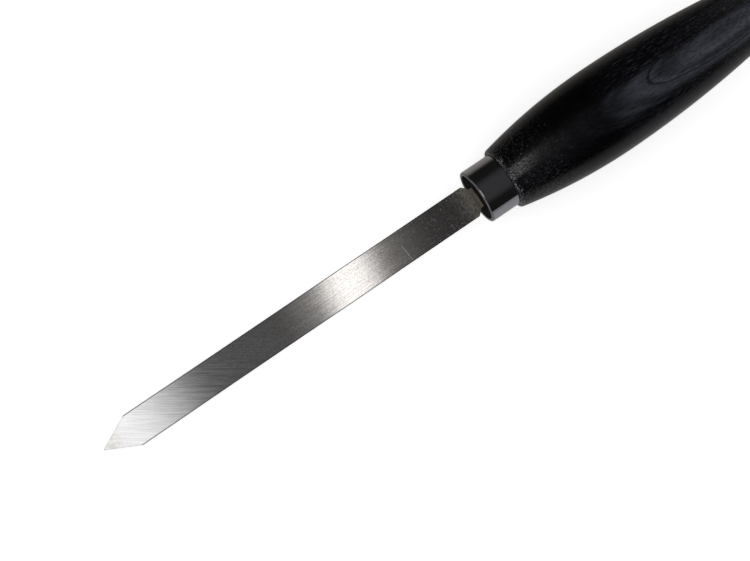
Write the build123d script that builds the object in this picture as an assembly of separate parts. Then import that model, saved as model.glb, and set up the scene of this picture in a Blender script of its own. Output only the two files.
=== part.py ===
from build123d import *
import math
import os

# A parting tool for wood turning, lying on its cutting edge and the belly of its handle.
# Each piece is made along X, from the cutting edge towards the butt, with the middle of
# the ferrule's mouth at zero. The whole tool is laid down at the end. Millimetres, degrees.

# Blade: one bar that goes on into the handle as a tang
blade_width = 15.3
blade_thickness = 3.2
blade_reach = 196.7         # cutting edge to ferrule mouth
point_angle = 53.0          # between the two bevels
arris = 0.35                # eased corner along each long edge
neck_lead = 3.6             # full width ends this far in front of the mouth
neck_slope = 45.0           # of the neck's sides, from the axis
skin_lead = 1.8             # ground flats end this far in front of the mouth
skin_run = 0.6              # length of the ramp where they end
tang_width = 9.8
tang_thickness = 2.9
tang_reach = 58.0           # mouth to the tang's end
tang_end_width = 5.4
tang_nose_run = 4.0
tang_nose_width = 2.0

# Ferrule: a tube pressed over the handle's spigot
ferrule_diameter = 25.7
ferrule_wall = 1.6
ferrule_length = 14.7
lip_round = 0.8
bore_ease = 0.4
back_ease = 0.3

# Handle: places are measured from the shoulder that the ferrule stands against
spigot_recess = 0.5         # end grain behind the ferrule's mouth
spigot_ease = 0.5
shoulder_round = 1.0
belly_diameter = 41.8
belly_place = 57.0
belly_front_radius = 265.0
belly_bend = 0.68           # how far from belly to waist the curve changes its side
waist_diameter = 25.8
waist_place = 168.0
waist_bend = 0.5            # how far from waist to flare the curve changes its side
flare_diameter = 32.6
butt_edge_radius = 9.0
butt_dome_radius = 30.0
handle_length = 228.6       # shoulder to butt
pilot_diameter = 5.0
pilot_depth = 66.0          # behind the mouth

ferrule_bore = ferrule_diameter - 2 * ferrule_wall


def prism(points, plane, width):
    """Straight-sided outline on a plane, made solid to the full width on both sides of it."""
    return extrude(plane * make_face(Polyline(*points, close=True)), amount=width / 2, both=True)


def nearest(face, point):
    """Corner of a face that lies closest to a point."""
    return face.vertices().sort_by_distance(point)[0]


def tang_plan():
    """Half of the tang's outline seen from above, from the neck to the nose."""
    neck_run = (blade_width - tang_width) / 2 / math.tan(math.radians(neck_slope))
    return [
        (neck_run - neck_lead, tang_width / 2),
        (tang_reach - tang_nose_run, tang_end_width / 2),
        (tang_reach, tang_nose_width / 2),
    ]


def mirrored(points):
    """Outline closed by the same points on the other side of the axis."""
    return points + [(x, -y) for x, y in reversed(points)]


def blade():
    """Bar with eased long corners, then its neck, ramps and tang, and the point ground last."""
    half = blade_width / 2
    plan = [(-blade_reach, half), (-neck_lead, half)] + tang_plan()
    bar = prism(mirrored(plan), Plane.XY, blade_thickness)
    long_corners = bar.edges().filter_by(Axis.X).group_by(Edge.length)[-1]
    bar = chamfer(long_corners, arris)

    side = [
        (-blade_reach, blade_thickness / 2),
        (-skin_lead, blade_thickness / 2),
        (skin_run - skin_lead, tang_thickness / 2),
        (tang_reach, tang_thickness / 2),
    ]
    point_run = half / math.tan(math.radians(point_angle / 2))
    bevels = mirrored([(point_run - blade_reach, half), (tang_reach, half)])
    thinned = bar & prism(mirrored(side), Plane.XZ, blade_width)
    return thinned & prism([(-blade_reach, 0)] + bevels, Plane.XY, blade_thickness)


def ferrule():
    """Tube with a rounded lip, an eased bore and an eased back edge."""
    inner = ferrule_bore / 2
    outer = ferrule_diameter / 2
    corners = [(0, inner), (0, outer), (ferrule_length, outer), (ferrule_length, inner)]
    wall = make_face(Polyline(*corners, close=True))
    wall = fillet(nearest(wall, corners[1]), lip_round)
    wall = chamfer(nearest(wall, corners[0]), bore_ease)
    wall = chamfer(nearest(wall, corners[2]), back_ease)
    return revolve(wall, Axis.X)


def turning_point(start, end, bend):
    """Where two arcs meet, each level at its far end: always on the line between those ends."""
    return (start[0] + bend * (end[0] - start[0]), start[1] + bend * (end[1] - start[1]))


def turned_outline():
    """Half section of the turned handle: spigot, shoulder, belly, waist, flare and butt."""
    spigot = ferrule_bore / 2
    belly = (ferrule_length + belly_place, belly_diameter / 2)
    waist = (ferrule_length + waist_place, waist_diameter / 2)
    butt_end = ferrule_length + handle_length

    dome_middle = butt_end - butt_dome_radius
    edge_height = flare_diameter / 2 - butt_edge_radius
    middles_apart = butt_dome_radius - butt_edge_radius
    edge_middle = dome_middle + math.sqrt(middles_apart**2 - edge_height**2)
    flare = (edge_middle, flare_diameter / 2)
    dome_turn = math.asin(edge_height / middles_apart)
    dome_start = (
        dome_middle + butt_dome_radius * math.cos(dome_turn),
        butt_dome_radius * math.sin(dome_turn),
    )

    belly_sag = belly_front_radius - math.sqrt(belly_front_radius**2 - belly_place**2)
    shoulder = (ferrule_length, belly_diameter / 2 - belly_sag)
    belly_end = turning_point(belly, waist, belly_bend)
    waist_end = turning_point(waist, flare, waist_bend)
    front = Polyline(
        (butt_end, 0),
        (spigot_recess, 0),
        (spigot_recess, spigot),
        (ferrule_length, spigot),
        shoulder,
    )
    outline = [
        front,
        TangentArc(belly, shoulder, tangent=(-1, 0)),
        TangentArc(belly, belly_end, tangent=(1, 0)),
        TangentArc(waist, belly_end, tangent=(-1, 0)),
        TangentArc(waist, waist_end, tangent=(1, 0)),
        TangentArc(flare, waist_end, tangent=(-1, 0)),
        TangentArc(flare, dome_start, tangent=(1, 0)),
        TangentArc((butt_end, 0), dome_start, tangent=(0, 1)),
    ]
    section = make_face(Curve() + outline)
    section = chamfer(nearest(section, (spigot_recess, spigot)), spigot_ease)
    return fillet(nearest(section, shoulder), shoulder_round)


def handle(tang):
    """Turned handle with its pilot bore and the slot that the tang has cut for itself."""
    pilot = Plane.YZ * Cylinder(
        pilot_diameter / 2, pilot_depth, align=(Align.CENTER, Align.CENTER, Align.MIN)
    )
    return revolve(turned_outline(), Axis.X) - pilot - tang


def rest_pitch():
    """Slope of the axis when the cutting edge and the belly's front arc touch the ground."""
    run = blade_reach + ferrule_length + belly_place
    rise = belly_front_radius - belly_diameter / 2 + blade_thickness / 2
    return math.asin(belly_front_radius / math.hypot(run, rise)) - math.atan2(rise, run)


def lay_down(parts):
    """Pitch all pieces on to the ground and centre them over the origin."""
    pitch = rest_pitch()
    lift = blade_reach * math.sin(pitch) + blade_thickness / 2 * math.cos(pitch)
    place = Pos(0, 0, lift) * Rot(0, -math.degrees(pitch), 0)
    middle = Compound(children=[place * part for part in parts.values()]).bounding_box().center()
    return {name: Pos(-middle.X, 0, 0) * place * part for name, part in parts.items()}


steel = blade()
tool = {"blade": steel, "ferrule": ferrule(), "handle": handle(steel)}
os.makedirs("parts", exist_ok=True)
for name, part in lay_down(tool).items():
    export_step(part, f"parts/{name}.step")
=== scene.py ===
"""Parting tool for wood turning: ground steel blade, bright tube ferrule and black-stained ash handle.

Tool coordinates are millimetres along the tool's own axis, with zero at the middle of the ferrule's
mouth, x towards the butt and z square to the blade's flats. Row coordinates are metres, as in the CAD.
"""

import logging
import math
from dataclasses import dataclass
from enum import Enum
from typing import Any, Iterable

import bpy
import numpy as np
from mathutils import Matrix, Vector


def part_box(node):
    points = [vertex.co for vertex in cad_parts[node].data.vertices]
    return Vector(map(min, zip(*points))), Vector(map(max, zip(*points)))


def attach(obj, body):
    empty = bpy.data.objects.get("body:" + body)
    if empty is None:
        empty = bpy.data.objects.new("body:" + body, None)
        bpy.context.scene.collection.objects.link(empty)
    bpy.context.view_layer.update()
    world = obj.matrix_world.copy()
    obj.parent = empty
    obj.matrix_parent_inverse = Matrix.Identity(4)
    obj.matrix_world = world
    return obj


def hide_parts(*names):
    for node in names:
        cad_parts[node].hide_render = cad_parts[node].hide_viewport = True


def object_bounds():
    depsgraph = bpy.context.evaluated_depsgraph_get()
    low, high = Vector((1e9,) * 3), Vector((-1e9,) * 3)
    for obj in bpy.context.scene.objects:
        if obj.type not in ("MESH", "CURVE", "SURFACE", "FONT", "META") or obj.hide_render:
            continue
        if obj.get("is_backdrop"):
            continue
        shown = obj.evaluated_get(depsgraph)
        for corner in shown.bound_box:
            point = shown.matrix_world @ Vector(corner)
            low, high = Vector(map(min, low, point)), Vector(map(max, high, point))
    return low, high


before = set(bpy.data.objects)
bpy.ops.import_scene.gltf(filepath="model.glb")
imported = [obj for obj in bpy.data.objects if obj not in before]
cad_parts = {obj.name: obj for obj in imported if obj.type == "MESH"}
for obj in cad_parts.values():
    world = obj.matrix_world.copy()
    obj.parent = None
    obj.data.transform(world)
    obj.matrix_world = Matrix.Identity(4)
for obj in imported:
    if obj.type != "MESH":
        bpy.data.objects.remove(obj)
CAD_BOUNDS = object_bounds()

LOG = logging.getLogger("parting_tool")
MM = 0.001
COLOURS = {"data_type": "RGBA"}  # settings of a Mix of two colours
USUAL = {  # settings that a kind of node has here unless it is told otherwise
    "MapRange": {"interpolation_type": "SMOOTHSTEP"},
    "Math": {"operation": "MULTIPLY"},
}

Socket = bpy.types.NodeSocket
Colour = tuple[float, float, float, float]
Span = tuple[float, float]
Grain = tuple[float, float, float]
Faces = list[list[int]]
Form = tuple[np.ndarray, Faces]


def linear(srgb_hex: str) -> Colour:
    """Turn an sRGB hex colour to linear light.

    Args:
        srgb_hex: six hex digits after a hash.

    Returns:
        Linear red, green and blue, and an alpha of one.
    """
    channels = np.array([int(srgb_hex[i:i + 2], 16) for i in (1, 3, 5)]) / 255.0
    low = channels / 12.92
    high = ((channels + 0.055) / 1.055) ** 2.4
    red, green, blue = np.where(channels <= 0.04045, low, high).tolist()
    return red, green, blue, 1.0


# Where the tool lies


@dataclass(frozen=True)
class Lie:
    """How the tool lies: pitched on to its cutting edge and the belly of its handle.

    It holds the sizes that set this, and the pieces read them here. The ground line touches the cutting
    edge's lower end and the belly's front arc. The slope is the arcsine of the arc's radius over the
    distance from that end to the arc's middle, less the slope of the line between the two.
    """

    reach: float = 196.7  # cutting edge to ferrule mouth
    thickness: float = 3.2  # of the bar
    shoulder_x: float = 14.7  # the ferrule's length, up to the handle's shoulder
    belly_place: float = 57.0  # behind the shoulder
    belly_diameter: float = 41.8
    belly_front_radius: float = 265.0

    @property
    def belly(self) -> np.ndarray:
        """Highest point of the belly (x, r)."""
        return np.array([self.shoulder_x + self.belly_place, self.belly_diameter / 2])

    @property
    def pitch(self) -> float:
        """Slope of the axis in radians, cutting edge down."""
        run = self.reach + self.belly[0]
        rise = self.belly_front_radius - self.belly[1] + self.thickness / 2
        return math.asin(self.belly_front_radius / math.hypot(run, rise)) - math.atan2(rise, run)

    @property
    def offset(self) -> Vector:
        """Row place of the middle of the ferrule's mouth, in metres."""
        half = self.thickness / 2
        low_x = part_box("blade")[0][0]
        along = self.reach * math.cos(self.pitch) + half * math.sin(self.pitch)
        lift = self.reach * math.sin(self.pitch) + half * math.cos(self.pitch)
        return Vector((low_x + along * MM, 0.0, lift * MM))

    def to_row(self, points: np.ndarray) -> np.ndarray:
        """Turn and shift tool points to their place in the row.

        Args:
            points: array of shape (..., 3) in tool millimetres.

        Returns:
            Array of the same shape in row metres.
        """
        x, y, z = np.moveaxis(np.asarray(points, float), -1, 0)
        cos, sin = math.cos(self.pitch), math.sin(self.pitch)
        turned = np.stack([x * cos - z * sin, y, x * sin + z * cos], axis=-1)
        return turned * MM + np.array(self.offset)


# Grid surfaces


def grid_faces(rows: int, columns: int, wrap_rows: bool = False) -> np.ndarray:
    """Quads of a grid whose last column joins its first.

    Args:
        rows: number of rings.
        columns: points on each ring.
        wrap_rows: whether the last ring joins the first one as well.

    Returns:
        Integer array of shape (quads, 4), where vertex number is row times columns plus column.
    """
    row = np.arange(rows if wrap_rows else rows - 1)[:, None]
    column = np.arange(columns)[None, :]
    next_row = (row + 1) % rows
    next_column = (column + 1) % columns
    corners = [
        row * columns + column,
        row * columns + next_column,
        next_row * columns + next_column,
        next_row * columns + column,
    ]
    return np.stack([np.broadcast_to(c, (row.size, columns)) for c in corners], axis=-1).reshape(-1, 4)


def revolved(profile: np.ndarray, segments: int, closed: bool) -> Form:
    """Carry a profile round the tool's axis.

    A profile point (x, r) at turn angle a goes to (x, r cos a, r sin a), on a grid of profile points
    by angles. An open profile starts and ends on the axis, and each end is one shared pole.

    Args:
        profile: array of shape (n, 2) with distance along the axis and radius.
        segments: number of steps round the axis.
        closed: whether the profile joins its own start, as a ring's section does.

    Returns:
        Points of shape (m, 3) in tool millimetres, and the faces as lists of point numbers.
    """
    body = profile if closed else profile[1:-1]
    turn = np.linspace(0.0, 2 * np.pi, segments, endpoint=False)
    x = np.repeat(body[:, :1], segments, axis=1)
    ring = np.stack([x, body[:, 1:] * np.cos(turn), body[:, 1:] * np.sin(turn)], axis=-1)
    points = ring.reshape(-1, 3)
    faces = grid_faces(len(body), segments, closed).tolist()
    if closed:
        return points, faces
    first, last = len(points), len(points) + 1
    poles = np.array([[profile[0, 0], 0, 0], [profile[-1, 0], 0, 0]])
    here = np.arange(segments)
    after = (here + 1) % segments
    base = (len(body) - 1) * segments
    start_fan = np.stack([np.full(segments, first), after, here], axis=1)
    end_fan = np.stack([np.full(segments, last), base + here, base + after], axis=1)
    return np.vstack([points, poles]), faces + start_fan.tolist() + end_fan.tolist()


def lofted(rings: np.ndarray) -> Form:
    """Join rings of points one after another and close both ends with a flat face.

    Args:
        rings: array of shape (stations, points, 3), each ring in the same turning sense.

    Returns:
        Points of shape (stations times points, 3), and the faces as lists of point numbers.
    """
    stations, count, _ = rings.shape
    faces = grid_faces(stations, count).tolist()
    start_cap = np.arange(count)[::-1].tolist()
    end_cap = ((stations - 1) * count + np.arange(count)).tolist()
    return rings.reshape(-1, 3), faces + [start_cap, end_cap]


def tangent_arc(start: np.ndarray, direction: np.ndarray, end: np.ndarray, steps: int) -> np.ndarray:
    """Points on the arc that leaves one point in a direction and passes through another.

    The middle lies on the normal at the start, at a signed distance of the chord squared over twice
    the chord's share along that normal. The points turn by equal angles about it.

    Args:
        start: first point (x, r).
        direction: unit direction of travel at the start.
        end: last point (x, r).
        steps: number of equal turns.

    Returns:
        Array of shape (steps + 1, 2), with both ends.
    """
    normal = np.array([-direction[1], direction[0]])
    chord = end - start
    radius = chord @ chord / (2 * (chord @ normal))
    middle = start + normal * radius
    first, last = start - middle, end - middle
    sweep = math.atan2(first[0] * last[1] - first[1] * last[0], first @ last)
    turn = np.linspace(0.0, sweep, steps + 1)[:, None]
    quarter = np.array([-first[1], first[0]])
    return middle + first * np.cos(turn) + quarter * np.sin(turn)


def finish_mesh(name: str, points: np.ndarray, faces: Faces, crease: float = 30.0) -> bpy.types.Object:
    """Make a smooth-shaded object, with edges sharper than an angle kept sharp.

    Args:
        name: the piece's name.
        points: array of shape (n, 3) in row metres.
        faces: lists of point numbers, outward by the right hand.
        crease: edge angle in degrees above which shading breaks.

    Returns:
        The linked object, at the origin.
    """
    mesh = bpy.data.meshes.new(name)
    mesh.from_pydata(points.tolist(), [], faces)
    mesh.validate()
    mesh.shade_smooth()
    mesh.set_sharp_from_angle(angle=math.radians(crease))
    piece = bpy.data.objects.new(name, mesh)
    bpy.context.scene.collection.objects.link(piece)
    return piece


# Materials


class Coat:
    """The nodes of a material or of the room, as they are added.

    The four numbers that a MapRange gets after its value are where its range starts and ends, and what
    it gives there, which is nought and one if they aren't named.
    """

    def __init__(self, owner: bpy.types.Material | bpy.types.World) -> None:
        """Switch the owner's nodes on and take them over."""
        owner.use_nodes = True
        self.tree = owner.node_tree

    def feed(self, socket: Socket, value: Any) -> None:
        """Link an output to an input, or set the input's own value.

        Args:
            socket: the input.
            value: an output, a number, a vector, or a colour as sRGB hex.
        """
        if isinstance(value, Socket):
            self.tree.links.new(value, socket)
        else:
            socket.default_value = linear(value) if isinstance(value, str) else value

    def add(
        self,
        kind: str,
        *values: Any,
        named: dict[str, Any] | None = None,
        stops: Iterable[tuple[float, Colour]] = (),
        out: str | None = None,
        **settings: Any,
    ) -> Socket:
        """Add a node, set it up, feed it and take one of its outputs.

        Args:
            kind: the node's type name, from behind ShaderNode.
            *values: what the inputs in use get, in their order.
            named: what further inputs get, by their names.
            stops: places and linear colours of a colour ramp.
            out: name of the output, where it isn't the first one in use.
            **settings: attributes of the node, before those that are usual for its kind.

        Returns:
            The output.
        """
        node = self.tree.nodes.new("ShaderNode" + kind)
        for key, value in (USUAL.get(kind, {}) | settings).items():
            setattr(node, key, value)
        for number, (place, colour) in enumerate(stops):
            elements = node.color_ramp.elements
            element = elements[number] if number < 2 else elements.new(1.0)
            element.position, element.color = place, colour
        for socket, value in zip([socket for socket in node.inputs if socket.enabled], values):
            self.feed(socket, value)
        for name, value in (named or {}).items():
            self.feed(node.inputs[name], value)
        return node.outputs[out] if out else next(socket for socket in node.outputs if socket.enabled)

    def dress(self, values: dict[str, Any]) -> Socket:
        """Feed the surface shader.

        Args:
            values: what its inputs get, by their names.

        Returns:
            The shader's output.
        """
        shader = self.tree.nodes["Principled BSDF"]
        for name, value in values.items():
            self.feed(shader.inputs[name], value)
        return shader.outputs[0]

    def relief(self, *layers: tuple[Socket, Any, float]) -> Socket:
        """Add layers of relief, each over the one before.

        Args:
            *layers: height, strength and depth in metres of each.

        Returns:
            A normal output.
        """
        under: dict[str, Any] = {}
        for height, strength, depth in layers:
            layer = {"Height": height, "Strength": strength, "Distance": depth}
            under = {"Normal": self.add("Bump", named=layer | under)}
        return under["Normal"]

    def show(self, surface: Socket) -> None:
        """Make a shader the surface of the material."""
        self.feed(self.tree.nodes["Material Output"].inputs["Surface"], surface)


class ToolCoat(Coat):
    """A coat on the tool, with each point's place in tool millimetres, and that along and aside."""

    def __init__(self, owner: bpy.types.Material, lie: Lie) -> None:
        """Turn Object coordinates to tool millimetres.

        Args:
            owner: the material.
            lie: how the tool lies in the row.
        """
        super().__init__(owner)
        where = self.add("TexCoord", out="Object")
        turn = (0.0, -lie.pitch, 0.0)
        self.place = self.add("Mapping", where, lie.offset, turn, (MM, MM, MM), vector_type="TEXTURE")
        self.along = self.add("SeparateXYZ", self.place, out="X")
        self.aside = self.along.node.outputs["Y"]

    def mottling(self, grain: Grain, detail: float = 3.0, place: Socket | None = None) -> Socket:
        """Uneven tone in grains of a real size: the place divided by the grain, read in a noise.

        Args:
            grain: length, width and depth of one grain in millimetres.
            detail: how many finer layers lie over the first.
            place: where, if not plainly in tool millimetres.

        Returns:
            A value output between zero and one.
        """
        scale = tuple(1 / size for size in grain)
        scaled = self.add("Mapping", place or self.place, named={"Scale": scale})
        return self.add("TexNoise", scaled, named={"Scale": 1.0, "Detail": detail, "Roughness": 0.6})


@dataclass(frozen=True)
class Scratch:
    """One straight hairline scratch on the blade: its middle, length, turn and width."""

    middle: Span
    length: float
    turn: float
    width: float

    def mask(self, on: ToolCoat) -> Socket:
        """Add the nodes that are one on the scratch and nothing elsewhere.

        Args:
            on: the coat.

        Returns:
            A value output.
        """
        turn = (0.0, 0.0, math.radians(self.turn))
        half = (self.length / 2, self.width / 2, 1.0)
        own = on.add("Mapping", on.place, (*self.middle, 0.0), turn, half, vector_type="TEXTURE")
        away = on.add("VectorMath", own, operation="ABSOLUTE")
        ahead = on.add("SeparateXYZ", away, out="X")
        farther = on.add("Math", ahead, ahead.node.outputs["Y"], operation="MAXIMUM")
        return on.add("Math", farther, 1.0, operation="LESS_THAN")


@dataclass(frozen=True)
class GroundSteel:
    """High-speed steel, ground on a wheel: clear long reflections of the lamps, broken by fine marks.

    The last grinding by hand left slanting marks near the point. Towards the neck the steel is stained,
    flecked and scratched, and its last stretch keeps a dull brown skin from the furnace. Its eased corners
    and a thin line along each bevel are darkened as painted shade.
    """

    lie: Lie
    half_width: float
    half_angle: float  # of the point, in degrees
    arris: float
    steel_low: str = "#BCBCBE"
    steel_high: str = "#D5D4D4"
    stain: str = "#7B7774"
    speck: str = "#D8D2C4"
    # dirt at the point, and the painted shade of the line along each bevel
    smudge_and_edge_shade: str = "#8E887B"
    # painted shade on the eased corners, and the dark of the grit's pits
    corner: str = "#3A3331"
    skin: str = "#989082"
    roughness: float = 0.088
    dull_roughness: float = 0.5
    anisotropy: float = 0.7
    hand_mark_angle: float = -34.0  # from the axis
    hand_mark: Grain = (14.0, 0.3, 5.0)
    wheel_mark: Grain = (30.0, 0.4, 5.0)  # coarser than real, to show
    grit: Grain = (0.42, 0.4, 5.0)  # coarser than real, to show
    cloud: Grain = (0.9, 0.7, 5.0)
    dirt: Grain = (2.2, 1.2, 5.0)
    blotch: Grain = (1.0, 1.4, 5.0)
    speck_spacing: float = 2.0
    speck_strength: float = 0.45
    relief: float = 0.00002  # of marks and grit, in metres
    bevel_shade_line: float = 0.32  # painted shade line along each bevel
    tip_run: float = 15.0  # over which the smudges at the point fade
    grit_span: Span = (-160.0, -110.0)  # along which the grit comes up
    wheel_span: Span = (-135.0, -75.0)  # along which the wheel's marks follow the hand's
    neck_span: Span = (-78.0, -8.0)  # along which the stain comes up
    skin_span: Span = (-12.5, 1.0)  # along which the skin begins
    scratches: tuple[Scratch, ...] = (
        Scratch((-39.6, -3.1), 7.4, -84.0, 0.18),
        Scratch((-16.2, -4.9), 3.0, -88.0, 0.07),
        Scratch((-21.5, 2.4), 2.2, -60.0, 0.07),
    )

    def grinding(self, on: ToolCoat) -> Socket:
        """Add the grinding marks: the hand's slanting ones near the point, then the wheel's.

        Args:
            on: the coat.

        Returns:
            A value output.
        """
        turn = (0.0, 0.0, math.radians(-self.hand_mark_angle))
        slanting = on.add("Mapping", on.place, named={"Rotation": turn})
        by_wheel = on.add("MapRange", on.along, *self.wheel_span)
        hand, wheel = on.mottling(self.hand_mark, place=slanting), on.mottling(self.wheel_mark)
        return on.add("Mix", by_wheel, hand, wheel)

    def flaws(self, on: ToolCoat, neck: Socket) -> Socket:
        """Add the mask of the small pale flaws: specks by the neck and the scratches.

        Args:
            on: the coat.
            neck: how near the neck is, from zero to one.

        Returns:
            A value output.
        """
        density = {"Scale": 1 / self.speck_spacing}
        near = on.add("TexVoronoi", on.place, named=density, out="Distance", voronoi_dimensions="2D")
        chance = on.add("SeparateXYZ", near.node.outputs["Color"], out="X")
        largest = on.add("MapRange", chance, 0.35, 1.0, 0.0, 0.12)
        size = on.add("Math", largest, neck)
        spot = on.add("Math", near, size, operation="LESS_THAN")
        flaws = on.add("Math", spot, self.speck_strength)
        for scratch in self.scratches:
            flaws = on.add("Math", flaws, scratch.mask(on), operation="MAXIMUM")
        return flaws

    def furnace_skin(self, on: ToolCoat) -> Socket:
        """Add the mask of the skin in front of the ferrule, with a ragged front and thin spots.

        Args:
            on: the coat.

        Returns:
            A value output.
        """
        blotch = on.mottling(self.blotch, 4.0)
        shift = on.add("MapRange", blotch, 0.3, 0.7, -2.0, 2.0)
        ragged = on.add("Math", on.along, shift, operation="ADD")
        front = on.add("MapRange", ragged, *self.skin_span)
        cover = on.add("MapRange", blotch, 0.3, 0.65, 0.55, 1.0)
        return on.add("Math", front, cover)

    def bare_colour(self, on: ToolCoat, marks: Socket, grit: Socket, neck: Socket) -> Socket:
        """Add the steel's own colour with its marks and grit, the stain and the smudges at the point.

        Args:
            on: the coat.
            marks: the grinding marks.
            grit: the grit.
            neck: how near the neck is, from zero to one.

        Returns:
            A colour output.
        """
        light = on.add("MapRange", marks, 0.3, 0.7)
        steel = on.add("Mix", light, self.steel_low, self.steel_high, **COLOURS)
        pitted = on.add("MapRange", grit, 0.38, 0.66, 0.0, 0.4)
        coming = on.add("MapRange", on.along, *self.grit_span, 0.2, 1.0)
        gritty = on.add("Math", pitted, coming)
        steel = on.add("Mix", gritty, steel, self.corner, **COLOURS)
        cloud = on.add("MapRange", on.mottling(self.cloud, 4.0), 0.3, 0.7, 0.4, 1.0)
        stained = on.add("Math", neck, cloud)
        steel = on.add("Mix", stained, steel, self.stain, **COLOURS)
        reach = self.lie.reach
        tip = on.add("MapRange", on.along, -reach, self.tip_run - reach, 1.0, 0.0)
        dirt = on.add("MapRange", on.mottling(self.dirt, 4.0), 0.35, 0.62, 0.2, 0.6)
        smudged = on.add("Math", tip, dirt)
        return on.add("Mix", smudged, steel, self.smudge_and_edge_shade, **COLOURS)

    def edge_colour(self, on: ToolCoat, grit: Socket, steel: Socket) -> Socket:
        """Add a broken darker line along each bevel and darken the eased corners, both painted shade.

        A place's distance from the bevel is its distance from the tip times the sine of the half angle,
        less its distance from the axis times the cosine.

        Args:
            on: the coat.
            grit: the grit, which breaks the line.
            steel: the colour so far.

        Returns:
            A colour output.
        """
        slant = math.radians(self.half_angle)
        aside = on.add("Math", on.aside, operation="ABSOLUTE")
        from_tip = on.add("Math", on.along, self.lie.reach, operation="ADD")
        inward = on.add("Math", from_tip, math.sin(slant))
        outward = on.add("Math", aside, math.cos(slant))
        from_bevel = on.add("Math", inward, outward, operation="SUBTRACT")
        half_line = self.bevel_shade_line / 2
        # Painted shade: a darker line along each bevel
        line = on.add("Math", from_bevel, half_line, half_line - 0.02, operation="COMPARE")
        broken = on.add("MapRange", grit, 0.38, 0.6, 0.1, 0.75)
        edge_band = on.add("Math", line, broken)
        steel = on.add("Mix", edge_band, steel, self.smudge_and_edge_shade, **COLOURS)
        from_side = on.add("Math", self.half_width, aside, operation="SUBTRACT")
        half_arris = self.arris / 2
        # Painted shade: the eased corners darkened
        eased = on.add("Math", from_side, half_arris, half_arris - 0.01, operation="COMPARE")
        return on.add("Mix", eased, steel, self.corner, **COLOURS)

    def make(self) -> bpy.types.Material:
        """Build the material.

        Returns:
            The finished material.
        """
        material = bpy.data.materials.new("high_speed_steel_ground")
        on = ToolCoat(material, self.lie)
        neck = on.add("MapRange", on.along, *self.neck_span)
        marks = self.grinding(on)
        grit = on.mottling(self.grit, 4.0)
        skinned = self.furnace_skin(on)
        flaws = self.flaws(on, neck)

        colour = self.bare_colour(on, marks, grit, neck)
        colour = self.edge_colour(on, grit, colour)
        colour = on.add("Mix", skinned, colour, self.skin, **COLOURS)
        colour = on.add("Mix", flaws, colour, self.speck, **COLOURS)

        dull = on.add("Math", skinned, flaws, operation="MAXIMUM")
        smoothest, roughest = self.roughness - 0.015, self.roughness + 0.02
        fine = on.add("MapRange", marks, 0.3, 0.7, smoothest, roughest)
        bare = on.add("MapRange", neck, 0.0, 1.0, 1.0, 0.9)
        covered = on.add("Math", dull, 0.5)
        # The marks are deepest near the point, and the grit behind it
        marked = on.add("MapRange", on.along, *self.wheel_span, 0.16, 0.05)
        pitted = on.add("MapRange", on.along, *self.grit_span, 0.05, 0.4)
        on.dress({
            "Base Color": colour,
            "Roughness": on.add("Mix", dull, fine, self.dull_roughness),
            "Metallic": on.add("Math", bare, covered, operation="SUBTRACT"),
            "Normal": on.relief((marks, marked, self.relief), (grit, pitted, self.relief)),
            "Anisotropic": self.anisotropy,
            "Anisotropic Rotation": 0.25,
            "Tangent": on.add("Tangent", direction_type="UV_MAP", uv_map="along"),
        })
        return material


@dataclass(frozen=True)
class PlatedTube:
    """Steel tube, polished and plated: a clear dark mirror with a few rubbing marks round it.

    The rounded lip is a little rougher, so it shines more softly than the tube, and its colour is darker,
    as painted shade that dims its highlight.
    """

    lie: Lie
    plate: str = "#BBB9BF"
    # painted shade: darker at the lip to dim its highlight
    lip: str = "#7E7D80"
    roughness: float = 0.06
    lip_roughness: float = 0.1  # that the lip has more than the tube
    lip_span: Span = (0.9, 0.3)  # along which the lip begins
    rub: Grain = (0.5, 14.0, 14.0)  # coarser than real, to show

    def make(self) -> bpy.types.Material:
        """Build the material.

        Returns:
            The finished material.
        """
        material = bpy.data.materials.new("steel_tube_plated")
        on = ToolCoat(material, self.lie)
        lip = on.add("MapRange", on.along, *self.lip_span)
        smoothest, roughest = self.roughness - 0.02, self.roughness + 0.05
        rubbed = on.mottling(self.rub)
        rough = on.add("MapRange", rubbed, 0.3, 0.75, smoothest, roughest)
        edge_band = on.add("Math", lip, self.lip_roughness)
        # The lip's darker colour is painted shade
        on.dress({
            "Base Color": on.add("Mix", lip, self.plate, self.lip, **COLOURS),
            "Roughness": on.add("Math", rough, edge_band, operation="ADD"),
            "Metallic": 1.0,
        })
        return material


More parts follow.
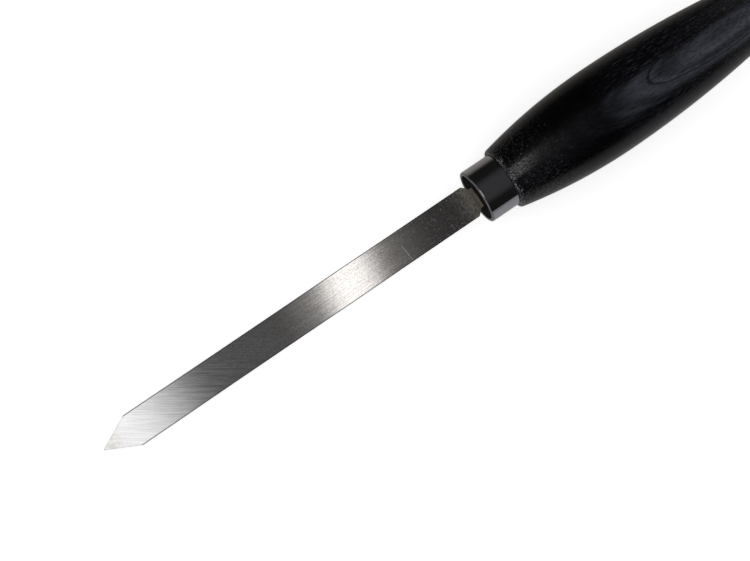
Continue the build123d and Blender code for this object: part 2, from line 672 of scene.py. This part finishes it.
@dataclass(frozen=True)
class StainedAsh:
    """Ash, turned, stained black and lacquered: black with grey tongues of growth rings, satin shine.

    The growth layers are nearly flat, tilted along the tool and turned a little round its axis. They
    come out on the handle as tongues that point to the blade. Their pale tone is partly the wood's own
    figure and partly painted sheen, drawn only in a band where they lie flat and from some way behind the
    shoulder. Near the shoulder the thin lacquer shines in specks. Pale dots there are painted glints of
    the pores, and pale spots on the shoulder's edge are painted glints too.
    """

    lie: Lie
    dark: str = "#020103"
    # pale tone of the figure and the open grain; in the figure's band it is partly painted sheen
    pale: str = "#484B54"
    # painted glints of the pores
    pore_glint: str = "#4C4C52"
    # painted glints on the shoulder's edge
    shoulder_glint: str = "#A4A4AC"
    end_dark: str = "#0E0D0C"
    end_pale: str = "#2B2927"
    layer_tilt: float = 6.5  # degrees, outwards to the butt
    layer_turn: float = -1.0  # degrees round the axis
    tongue_height: float = 30.66  # of one tongue's layer over the axis, carried to the mouth
    layer_spacing: float = 4.0
    layer_tones: tuple[Span, ...] = (
        (0.0, 1.0), (0.05, 0.8), (0.1, 0.35), (0.22, 0.5), (0.33, 1.0),
        (0.45, 0.4), (0.62, 0.5), (0.8, 1.0), (0.94, 0.9), (0.965, 0.25),
    )
    flat_side: float = -2.7  # where the layers lie flat and the painted sheen's band runs, from the axis
    flat_half: float = 8.0
    figure_sheen_span: Span = (62.0, 80.0)  # along which the figure and its painted sheen come up
    dash_span: Span = (62.0, 85.0)  # along which the open grain comes up
    sheen_span: Span = (25.0, 55.0)  # along which the lacquer evens out
    pore_glint_span: Span = (18.0, 60.0)  # along which the painted pore glints thin out
    pore_span: Span = (16.0, 50.0)  # along which the pores fill up
    shoulder_glint_run: Span = (2.6, 0.4)  # behind the shoulder, along which the painted glints lie
    fibre: Grain = (9.0, 0.34, 0.34)  # coarser than real, to show
    pore: Grain = (2.4, 0.36, 0.36)  # coarser than real, to show
    dash: Grain = (5.0, 0.36, 0.36)  # coarser than real, to show
    mottle: Grain = (0.55, 0.45, 0.45)  # of thin lacquer over the pores
    glint_spots: Grain = (0.45, 0.45, 0.45)
    cluster: Grain = (3.0, 3.0, 3.0)  # of painted glints
    ragged: Grain = (0.35, 0.3, 0.3)
    end_vessel: Grain = (2.0, 0.9, 0.5)
    wobble: Grain = (55.0, 22.0, 22.0)  # of the growth layers
    roughness: float = 0.145
    end_roughness: float = 0.85
    fibre_relief: float = 0.00004  # in metres
    pore_relief: float = 0.00009  # in metres

    def layers(self, on: ToolCoat) -> Socket:
        """Add the tone of the growth layers.

        The layer number is the height above the axis after the turn, plus the length times the tilt's
        tangent, less the tongue's own height, over the spacing. Its fraction picks the tone.

        Args:
            on: the coat.

        Returns:
            A colour output, from black to white for the palest tone.
        """
        turn = (math.radians(self.layer_turn), -math.radians(self.layer_tilt), 0.0)
        turned = on.add("Mapping", on.place, named={"Rotation": turn})
        height = on.add("SeparateXYZ", turned, out="Z")
        unevenness = on.mottling(self.wobble, 2.0)
        shift = on.add("MapRange", unevenness, 0.25, 0.75, -0.25, 0.25)
        shifted = on.add("Math", height, shift, operation="ADD")
        from_tongue = on.add("Math", shifted, self.tongue_height, operation="SUBTRACT")
        number = on.add("Math", from_tongue, self.layer_spacing, operation="DIVIDE")
        part = on.add("Math", number, operation="FRACT")
        stops = [(at, (tone, tone, tone, 1.0)) for at, tone in self.layer_tones]
        return on.add("ValToRGB", part, stops=stops)

    def figure(self, on: ToolCoat, fibre: Socket, filled: Socket) -> Socket:
        """Add the colour of the figure: growth layers in streaks, pale where they lie flat, partly painted
        sheen.

        Args:
            on: the coat.
            fibre: the fibres.
            filled: less than one where a pore is open.

        Returns:
            A colour output.
        """
        # The pale band where the layers lie flat is partly painted sheen
        offset = on.add("Math", on.aside, self.flat_side, operation="SUBTRACT")
        from_flat = on.add("Math", offset, operation="ABSOLUTE")
        outer, inner = self.flat_half + 1.2, self.flat_half - 3.2
        tone = on.add("MapRange", from_flat, outer, inner, 0.06, 1.0)
        for share in (
            on.add("MapRange", on.along, *self.figure_sheen_span, 0.1, 1.0),
            self.layers(on),
            on.add("MapRange", fibre, 0.35, 0.65, 0.45, 1.15),
            filled,
        ):
            tone = on.add("Math", tone, share)
        colour = on.add("Mix", tone, self.dark, self.pale, **COLOURS)
        dash = on.add("MapRange", on.mottling(self.dash), 0.56, 0.66, 0.0, 0.5)
        shown = on.add("MapRange", on.along, *self.dash_span, 0.15, 1.0)
        dashed = on.add("Math", dash, shown)
        return on.add("Mix", dashed, colour, self.pale, **COLOURS)

    def pore_glints(self, on: ToolCoat) -> Socket:
        """Add the mask of the painted glints of the pores: fine pale dots, thickest near the shoulder.

        Args:
            on: the coat.

        Returns:
            A value output.
        """
        size = on.add("MapRange", on.mottling(self.ragged), 0.4, 0.6, 0.0, 0.42)
        thinning = on.add("MapRange", on.along, *self.pore_glint_span, 1.0, 0.1)
        largest = on.add("Math", thinning, size)
        stretched = on.add("Mapping", on.place, named={"Scale": (0.7, 1.0, 1.0)})
        near = on.add("TexVoronoi", stretched, named={"Scale": 1.0}, out="Distance")
        chance = on.add("SeparateXYZ", near.node.outputs["Color"], out="X")
        radius = on.add("Math", chance, largest)
        return on.add("Math", near, radius, operation="LESS_THAN")

    def shoulder_glints(self, on: ToolCoat) -> Socket:
        """Add the mask of the painted glints: bright pale spots in clusters on the shoulder's edge.

        Args:
            on: the coat.

        Returns:
            A value output.
        """
        back, front = (self.lie.shoulder_x + run for run in self.shoulder_glint_run)
        least = on.add("MapRange", on.along, back, front, 0.72, 0.62)
        cluster = on.mottling(self.cluster, 1.0)
        easier = on.add("MapRange", cluster, 0.4, 0.6, 0.06, -0.04)
        needed = on.add("Math", least, easier, operation="ADD")
        glint_spots = on.mottling(self.glint_spots, 2.0)
        glinting = on.add("Math", glint_spots, needed, operation="GREATER_THAN")
        on_edge = on.add("Math", least, 0.715, operation="LESS_THAN")
        return on.add("Math", glinting, on_edge)

    def shine(self, on: ToolCoat) -> Socket:
        """Add how strongly the lacquer shines: in specks near the shoulder, evenly behind it.

        Args:
            on: the coat.

        Returns:
            A value output.
        """
        mottle = on.mottling(self.mottle)
        thick = on.add("MapRange", mottle, 0.38, 0.64)
        least = on.add("MapRange", on.along, *self.sheen_span, 0.12, 0.27)
        most = on.add("MapRange", on.along, *self.sheen_span, 1.0, 0.40)
        return on.add("Mix", thick, least, most)

    def make(self) -> bpy.types.Material:
        """Build the material.

        Returns:
            The finished material.
        """
        material = bpy.data.materials.new("ash_stained_lacquered")
        on = ToolCoat(material, self.lie)
        fibre = on.mottling(self.fibre)
        pore = on.mottling(self.pore)
        filled = on.add("MapRange", pore, 0.56, 0.64, 1.0, 0.4)

        colour = self.figure(on, fibre, filled)
        # Painted glints of the pores
        colour = on.add("Mix", self.pore_glints(on), colour, self.pore_glint, **COLOURS)
        # Painted glints on the shoulder's edge
        colour = on.add("Mix", self.shoulder_glints(on), colour, self.shoulder_glint, **COLOURS)
        end_grain = on.add("Math", on.along, self.lie.shoulder_x - 1.0, operation="LESS_THAN")
        vessels = on.add("MapRange", on.mottling(self.end_vessel), 0.4, 0.7)
        end_tone = on.add("Mix", vessels, self.end_dark, self.end_pale, **COLOURS)
        smoothest, roughest = self.roughness - 0.03, self.roughness + 0.05
        satin = on.add("MapRange", fibre, 0.3, 0.7, smoothest, roughest)
        # The open pores are deepest near the shoulder
        opened = on.add("MapRange", on.along, *self.pore_span, 1.0, 0.35)
        on.dress({
            "Base Color": on.add("Mix", end_grain, colour, end_tone, **COLOURS),
            "Roughness": on.add("Mix", end_grain, satin, self.end_roughness),
            "Specular IOR Level": on.add("Mix", end_grain, self.shine(on), 0.05),
            "Normal": on.relief((fibre, 0.6, self.fibre_relief), (filled, opened, self.pore_relief)),
            "IOR": 1.5,
        })
        return material


# Pieces


@dataclass
class Blade:
    """One ground bar with a V point, eased long corners, a neck and the tang behind it."""

    lie: Lie
    width: float = 15.3
    point_angle: float = 53.0  # between the two bevels
    arris: float = 0.35  # eased corner along each long edge
    neck_lead: float = 3.6  # full width ends this far in front of the mouth
    skin_lead: float = 1.8  # ground flats end this far in front of the mouth
    skin_run: float = 0.6  # length of the ramp where they end
    tang_width: float = 9.8
    tang_thickness: float = 2.9
    tang_reach: float = 58.0  # mouth to the tang's end
    tang_end_width: float = 5.4
    tang_nose_run: float = 4.0
    tang_nose_width: float = 2.0
    stations: int = 60  # along the plain length of the bar

    def outline(self) -> tuple[np.ndarray, np.ndarray, np.ndarray]:
        """Stations along the bar, with half width and half thickness at each.

        Half width and half thickness are straight lines between the places where the bar changes:
        the bevels' run, the eased corner's run-out, the neck, the ramp, the tang and its nose.

        Returns:
            Place along the axis, half width and half thickness, as three arrays of one length.
        """
        reach, thickness = self.lie.reach, self.lie.thickness
        half = self.width / 2
        run = half / math.tan(math.radians(self.point_angle / 2))
        shoulders = run - reach
        neck_end = (self.width - self.tang_width) / 2 - self.neck_lead
        nose_start = self.tang_reach - self.tang_nose_run
        width_x = [-reach, shoulders, -self.neck_lead, neck_end, nose_start, self.tang_reach]
        width_y = [0.0, half, half, self.tang_width / 2, self.tang_end_width / 2, self.tang_nose_width / 2]
        depth_x = [-reach, -self.skin_lead, self.skin_run - self.skin_lead, self.tang_reach]
        depth_z = [thickness / 2, thickness / 2, self.tang_thickness / 2, self.tang_thickness / 2]
        ease_out = run * (1 - self.arris / half) - reach
        neck_ease = self.arris - self.neck_lead
        plain = np.linspace(shoulders, -self.neck_lead, self.stations)
        stations = np.unique(np.concatenate([width_x, depth_x, [ease_out, neck_ease], plain]))
        return stations, np.interp(stations, width_x, width_y), np.interp(stations, depth_x, depth_z)

    def rings(self) -> np.ndarray:
        """Sections of the bar: a rectangle whose corners are cut back where it has its full width.

        The corner cut at a station is as deep as the half width there exceeds the full half width
        less the arris, and never below nothing.

        Returns:
            Array of shape (stations, 8, 3) in tool millimetres.
        """
        x, w, d = self.outline()
        flat = np.minimum(w, self.width / 2 - self.arris)
        side = d - (w - flat)
        y = np.stack([flat, w, w, flat, -flat, -w, -w, -flat], axis=1)
        z = np.stack([d, side, -side, -d, -d, -side, side, d], axis=1)
        return np.stack([np.repeat(x[:, None], 8, axis=1), y, z], axis=-1)

    def tang_mesh(self) -> Form:
        """Points in tool millimetres and faces of the tang alone, from behind the ground flats."""
        rings = self.rings()
        return lofted(rings[rings[:, 0, 0] > self.skin_run - self.skin_lead - 0.01])

    def build(self) -> bpy.types.Object:
        """Make the blade and give it a map whose first direction runs along the bar.

        Returns:
            The blade's object.
        """
        points, faces = lofted(self.rings())
        piece = finish_mesh("ground_blade", self.lie.to_row(points), faces, crease=20.0)
        layer = piece.data.uv_layers.new(name="along")
        corner_points = np.empty(len(piece.data.loops), dtype=np.int32)
        piece.data.loops.foreach_get("vertex_index", corner_points)
        across = points[:, 1] + points[:, 2]
        flat_map = np.stack([points[:, 0], across], axis=1)[corner_points] / self.lie.reach
        layer.data.foreach_set("uv", flat_map.ravel())
        steel = GroundSteel(self.lie, self.width / 2, self.point_angle / 2, self.arris)
        piece.data.materials.append(steel.make())
        return piece


@dataclass
class Ferrule:
    """Tube with a rounded lip, eased at its bore and at its back edge."""

    lie: Lie
    diameter: float = 25.7
    wall: float = 1.6
    lip_round: float = 0.8
    bore_ease: float = 0.4
    back_ease: float = 0.3
    hold: float = 0.1  # from a round or edge to the ring that holds the shading
    lip_steps: int = 16
    segments: int = 256

    @property
    def bore(self) -> float:
        """Inner diameter, which the handle's spigot fills."""
        return self.diameter - 2 * self.wall

    def build(self) -> bpy.types.Object:
        """Make the ferrule as its wall's section carried round the axis.

        Returns:
            The ferrule's object.
        """
        outer, inner, length = self.diameter / 2, self.bore / 2, self.lie.shoulder_x
        turn = np.linspace(np.pi, np.pi / 2, self.lip_steps + 1)
        middle = np.array([self.lip_round, outer - self.lip_round])
        lip = middle + self.lip_round * np.stack([np.cos(turn), np.sin(turn)], axis=1)
        ease_start = length - self.back_ease
        section = np.vstack([
            [[self.bore_ease, inner], [0.0, inner + self.bore_ease]],
            lip,
            [[self.lip_round + self.hold, outer], [ease_start - self.hold, outer], [ease_start, outer]],
            [[length, outer - self.back_ease], [length, inner], [length / 2, inner]],
        ])
        points, faces = revolved(section, self.segments, closed=True)
        piece = finish_mesh("tube_ferrule", self.lie.to_row(points), faces)
        piece.data.materials.append(PlatedTube(self.lie).make())
        return piece


@dataclass
class Handle:
    """Turned handle: spigot, shoulder, belly, waist, flare and domed butt, bored for the tang."""

    lie: Lie
    spigot_diameter: float
    spigot_recess: float = 0.5  # end grain behind the ferrule's mouth
    spigot_ease: float = 0.5
    shoulder_round: float = 1.0
    belly_bend: float = 0.68  # how far from belly to waist the curve changes its side
    waist_diameter: float = 25.8
    waist_place: float = 168.0  # behind the shoulder
    waist_bend: float = 0.5  # how far from waist to flare the curve changes its side
    flare_diameter: float = 32.6
    butt_edge_radius: float = 9.0
    butt_dome_radius: float = 30.0
    length: float = 228.6  # shoulder to butt
    pilot_diameter: float = 5.0
    pilot_depth: float = 66.0  # behind the mouth
    segments: int = 320
    crease: float = 30.0

    @staticmethod
    def turning_point(start: np.ndarray, end: np.ndarray, bend: float) -> np.ndarray:
        """Where two arcs meet, each level at its far end: always on the line between those ends."""
        return start + bend * (end - start)

    def profile(self) -> np.ndarray:
        """Half section from the bottom of the pilot bore, round the outside, to the butt's pole.

        Returns:
            Array of shape (n, 2) with distance along the axis and radius.
        """
        forward, back, upward = np.array([1.0, 0.0]), np.array([-1.0, 0.0]), np.array([0.0, 1.0])
        shoulder_x, belly = self.lie.shoulder_x, self.lie.belly
        waist = np.array([shoulder_x + self.waist_place, self.waist_diameter / 2])
        butt = np.array([shoulder_x + self.length, 0.0])

        dome_middle = butt - np.array([self.butt_dome_radius, 0.0])
        edge_height = self.flare_diameter / 2 - self.butt_edge_radius
        apart = self.butt_dome_radius - self.butt_edge_radius
        flare = dome_middle + np.array([math.sqrt(apart**2 - edge_height**2), self.flare_diameter / 2])
        dome_turn = math.asin(edge_height / apart)
        towards_start = np.array([math.cos(dome_turn), math.sin(dome_turn)])
        dome_start = dome_middle + self.butt_dome_radius * towards_start

        arc_radius = self.lie.belly_front_radius
        arc_middle = belly - np.array([0.0, arc_radius])
        inner_radius = arc_radius - self.shoulder_round
        round_x = shoulder_x + self.shoulder_round
        round_r = arc_middle[1] + math.sqrt(inner_radius**2 - (round_x - arc_middle[0]) ** 2)
        round_start = np.array([shoulder_x, round_r])
        round_middle = np.array([round_x, round_r])
        round_end = arc_middle + (round_middle - arc_middle) * (arc_radius / inner_radius)

        belly_end = self.turning_point(belly, waist, self.belly_bend)
        waist_end = self.turning_point(waist, flare, self.waist_bend)
        spigot = self.spigot_diameter / 2
        pilot = self.pilot_diameter / 2
        inside = np.array([
            [self.pilot_depth, 0.0],
            [self.pilot_depth, pilot],
            [self.spigot_recess, pilot],
            [self.spigot_recess, spigot - self.spigot_ease],
            [self.spigot_recess + self.spigot_ease, spigot],
            [shoulder_x, spigot],
        ])
        runs = [
            inside,
            tangent_arc(round_start, upward, round_end, 14),
            tangent_arc(belly, back, round_end, 40)[::-1][1:],
            tangent_arc(belly, forward, belly_end, 40)[1:],
            tangent_arc(waist, back, belly_end, 24)[::-1][1:],
            tangent_arc(waist, forward, waist_end, 20)[1:],
            tangent_arc(flare, back, waist_end, 20)[::-1][1:],
            tangent_arc(flare, forward, dome_start, 16)[1:],
            tangent_arc(butt, upward, dome_start, 10)[::-1][1:],
        ]
        return np.vstack(runs)

    def build(self, tang: Form) -> bpy.types.Object:
        """Make the handle and cut the tang's slot into it.

        Args:
            tang: points in tool millimetres and faces of the tang.

        Returns:
            The handle's object.
        """
        points, faces = revolved(self.profile(), self.segments, closed=False)
        piece = finish_mesh("turned_handle", self.lie.to_row(points), faces, self.crease)
        cutter = finish_mesh("slot_cutter", self.lie.to_row(tang[0]), tang[1], self.crease)
        cut = piece.modifiers.new("slot", "BOOLEAN")
        cut.operation = "DIFFERENCE"
        cut.solver = "EXACT"
        cut.object = cutter
        graph = bpy.context.evaluated_depsgraph_get()
        piece.data = bpy.data.meshes.new_from_object(piece.evaluated_get(graph))
        piece.modifiers.clear()
        piece.data.shade_smooth()
        piece.data.set_sharp_from_angle(angle=math.radians(self.crease))
        bpy.data.objects.remove(cutter)
        piece.data.materials.clear()
        piece.data.materials.append(StainedAsh(self.lie).make())
        return piece


# Studio


@dataclass(frozen=True)
class SoftBox:
    """One soft box over the table. Lengths and places are in metres, the turn is in degrees."""

    behind: float  # its middle, from the ferrule's mouth towards the butt
    width: float  # along the tool
    depth: float  # across the tool
    radiance: float
    edge: float  # inside its width, over which its light fades
    side: float = 0.0
    height: float = 1.76
    turn: float = 0.0
    colour: str = "#FFFFFF"
    halo_width: float = 0.0  # of the faint light beyond its width
    halo: float = 0.0
    halo_end: float = 0.0


class Panel(Enum):
    """The soft boxes, each named for where it hangs or what it is.

    The one over the point whitens the point, the dim one between fills the stretch behind it, the low
    slanting strip makes the bright band on the blade, and the cool one over the butt shows the wood.
    """

    OVER_POINT = SoftBox(-0.801, 1.245, 0.95, 1.58, 0.135, halo=0.133, halo_end=0.133)
    BETWEEN = SoftBox(-0.096, 0.170, 1.20, 0.133, 0.01, height=1.8)
    STRIP = SoftBox(
        -0.0520, 0.0448, 0.20, 1.76, 0.0150, height=0.30, turn=-7.4, colour="#FFFBF6",
        halo_width=0.028, halo=0.42, halo_end=0.11,
    )
    OVER_BUTT = SoftBox(1.086, 0.9, 0.8, 0.75, 0.10, side=-0.62, colour="#DDE5F8")


@dataclass
class Studio:
    """Pale floor, soft boxes, dim room and camera."""

    lie: Lie
    floor_colour: str = "#F0F0F0"
    floor_size: float = 8.0
    floor_glow: float = 0.66  # for the camera alone
    paper_half: float = 0.25  # of the strip of table that the tones run across
    paper_tones: tuple[tuple[float, str], ...] = (
        (0.0, "#B3B3B4"), (0.4, "#DDDDDE"), (0.5, "#F0F0F0"),
        (0.57, "#D2CDC5"), (0.66, "#9B9790"), (0.9, "#42413E"),
    )
    room_fill: float = 0.5
    focal_pixels: float = 2200.0
    image_width: int = 750
    sensor: float = 36.0
    tilt: float = 7.92
    roll: float = 34.17
    aim_x: float = -58.0
    aim_side: float = -5.15
    millimetres_per_pixel: float = 0.4375

    def floor(self) -> None:
        """Lay the table: matt and pale, lifted to white for the camera alone, with the tool's shadow.

        In reflections it gets darker to both sides of the tool, as paper does away from its lamp.
        """
        half = self.floor_size / 2
        corners = np.array([[-half, -half, 0], [half, -half, 0], [half, half, 0], [-half, half, 0]])
        table = finish_mesh("table", corners, [[0, 1, 2, 3]])
        material = bpy.data.materials.new("table_paper_matt")
        on = Coat(material)
        seen = on.add("LightPath", out="Is Camera Ray")
        side = on.add("SeparateXYZ", on.add("TexCoord", out="Object"), out="Y")
        place = on.add("MapRange", side, -self.paper_half, self.paper_half, interpolation_type="LINEAR")
        fade = on.add("ValToRGB", place, stops=[(at, linear(tone)) for at, tone in self.paper_tones])
        paper = on.dress({
            "Base Color": on.add("Mix", seen, fade, self.floor_colour, **COLOURS),
            "Roughness": 0.9,
            "Specular IOR Level": 0.0,
        })
        lifted = on.add("AddShader", paper, on.add("Emission", "#FFFFFF", self.floor_glow))
        on.show(on.add("MixShader", seen, paper, lifted))
        table.data.materials.append(material)
        table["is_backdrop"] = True

    def soft_box(self, panel: Panel) -> None:
        """Hang one soft box, brightest in its middle and fading at its edges.

        Args:
            panel: which box.
        """
        lamp = panel.value
        name = "soft_box_" + panel.name.lower()
        half = np.array([lamp.width / 2 + lamp.halo_width, lamp.depth / 2])
        signs = np.array([[-1, -1], [-1, 1], [1, 1], [1, -1]])
        angle = math.radians(lamp.turn)
        spin = np.array([[math.cos(angle), -math.sin(angle)], [math.sin(angle), math.cos(angle)]])
        flat = (signs * half) @ spin.T + np.array([self.lie.offset.x + lamp.behind, lamp.side])
        corners = np.column_stack([flat, np.full(4, lamp.height)])
        box = finish_mesh(name, corners, [[0, 1, 2, 3]])
        box.data.uv_layers.new(name="face").data.foreach_set("uv", (signs * half).ravel())
        material = bpy.data.materials.new(name)
        on = Coat(material)
        across = on.add("SeparateXYZ", on.add("UVMap", uv_map="face"), out="X")
        out = on.add("Math", across, operation="ABSOLUTE")
        edge = lamp.width / 2
        core = on.add("MapRange", out, edge - lamp.edge, edge, lamp.radiance, 0.0)
        halo_start = half[0] - lamp.halo_width - lamp.edge / 2
        halo = on.add("MapRange", out, halo_start, half[0], lamp.halo, lamp.halo_end)
        glow = on.add("Emission", lamp.colour, on.add("Math", core, halo, operation="ADD"))
        on.show(glow)
        box.data.materials.append(material)
        box.visible_camera = False
        box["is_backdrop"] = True

    def room(self) -> None:
        """Fill the room: white for the camera, a soft fill for matt surfaces, dim in reflections.

        Reflections find a dark ceiling, and pale walls low down, so that bright metal never turns black.
        """
        world = bpy.data.worlds.new("room")
        on = Coat(world)
        east = on.add("SeparateXYZ", on.add("TexCoord", out="Generated"), out="X")
        up = east.node.outputs["Z"]
        ceiling = on.add("MapRange", up, 0.55, 0.95, 0.012, 0.055)
        beyond = on.add("MapRange", east, -0.4, -0.8)
        low = on.add("MapRange", up, 0.45, 0.2)
        wall = on.add("Math", beyond, low)
        endways = on.add("Math", east, operation="ABSOLUTE")
        pale = on.add("MapRange", endways, 0.38, 0.6, 0.0, 0.4)
        under_boxes = on.add("MapRange", up, 0.85, 0.6)
        ends = on.add("Math", pale, under_boxes)
        dim = on.add("Math", ceiling, wall, operation="MAXIMUM")
        dim = on.add("Math", dim, ends, operation="MAXIMUM")
        seen = on.add("LightPath", out="Is Camera Ray")
        fill = on.add("Mix", seen.node.outputs["Is Glossy Ray"], self.room_fill, dim)
        background = on.tree.nodes["Background"]
        on.feed(background.inputs["Color"], "#FFFFFF")
        on.feed(background.inputs["Strength"], on.add("Mix", seen, fill, 1.0))
        bpy.context.scene.world = world

    def camera(self) -> None:
        """Set the camera over the point's side of the tool, turned as the photograph is."""
        slope, tilt, roll = self.lie.pitch, math.radians(self.tilt), math.radians(self.roll)
        axis = Vector((math.cos(slope), 0, math.sin(slope)))
        normal = Vector((-math.sin(slope), 0, math.cos(slope)))
        view = axis * math.sin(tilt) - normal * math.cos(tilt)
        along = axis * math.cos(tilt) + normal * math.sin(tilt)
        side = (-view).cross(along)
        right = along * math.cos(roll) - side * math.sin(roll)
        up = along * math.sin(roll) + side * math.cos(roll)
        aim = Vector(self.lie.to_row(np.array([self.aim_x, self.aim_side, 0.0])))
        distance = self.millimetres_per_pixel * self.focal_pixels * MM
        lens = bpy.data.cameras.new("camera")
        lens.sensor_width = self.sensor
        lens.lens = self.focal_pixels / self.image_width * self.sensor
        lens.clip_start = 0.01
        lens.clip_end = 50.0
        eye = bpy.data.objects.new("camera", lens)
        bpy.context.scene.collection.objects.link(eye)
        turn = Matrix((right, up, -view)).transposed()
        eye.matrix_world = Matrix.Translation(aim - view * distance) @ turn.to_4x4()
        bpy.context.scene.camera = eye

    def build(self) -> None:
        """Set up the camera, the floor, the lights and the room."""
        self.camera()
        self.floor()
        for panel in Panel:
            self.soft_box(panel)
        self.room()
        bpy.context.scene.view_settings.view_transform = "Standard"


def main() -> None:
    """Build and dress each piece in order, and report it."""
    logging.basicConfig(level=logging.INFO, format="%(message)s")
    lie = Lie()
    blade, ferrule = Blade(lie), Ferrule(lie)
    handle = Handle(lie, ferrule.bore)
    Studio(lie).build()
    pieces = [
        (blade.build(), "blade", "blade_steel"),
        (ferrule.build(), "ferrule", "ferrule_plate"),
        (handle.build(blade.tang_mesh()), "handle", "handle_wood"),
    ]
    for piece, node, slot in pieces:
        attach(piece, "root")
        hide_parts(node)
        LOG.info("%s: %d faces", piece.name, len(piece.data.polygons))
    bounds = {"cad": CAD_BOUNDS, "visual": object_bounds()}
    sizes = {name: [list(corner) for corner in corners] for name, corners in bounds.items()}


if __name__ == "__main__":
    main()
